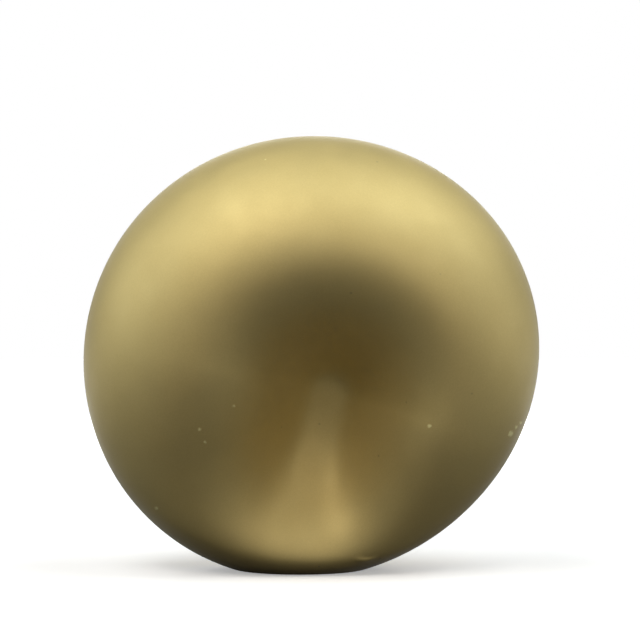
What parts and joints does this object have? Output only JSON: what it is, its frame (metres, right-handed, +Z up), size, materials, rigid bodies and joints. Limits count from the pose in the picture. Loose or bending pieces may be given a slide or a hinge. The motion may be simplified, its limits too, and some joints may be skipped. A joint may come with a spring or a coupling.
{
  "type": "stress ball",
  "caption": "Soft gel-filled stress ball, stored squeezed: a thumb's deep dent and channel press into its front.",
  "frame": {"origin": "on the floor under the middle of the ball's bounding box", "axes": "+Z up, +X across the ball to the right as the thumb's side is looked at, +Y from the thumb's side to the back"},
  "size_m": [0.0924, 0.0431, 0.0878],
  "materials": {
    "skin": "soft moulded rubber, satin pearl gold",
    "filling": "translucent soft gel",
    "plug": "moulded rubber, satin pearl gold",
    "seal": "cured clear glue"
  },
  "bodies": {
    "ball": {"outer_skin": "skin", "gel_filling": "filling", "fill_plug": "plug", "plug_seal": "seal"},
    "thumb_spot": {"thumb_wall": "skin"}
  },
  "joints": [
    {"name": "thumb_press", "type": "slide", "parent": "ball", "child": "thumb_spot", "axis": [0, -1, 0], "range_m": [0, 0.03], "stiffness_N_per_m": 400, "springref_m": 0.03}
  ]
}
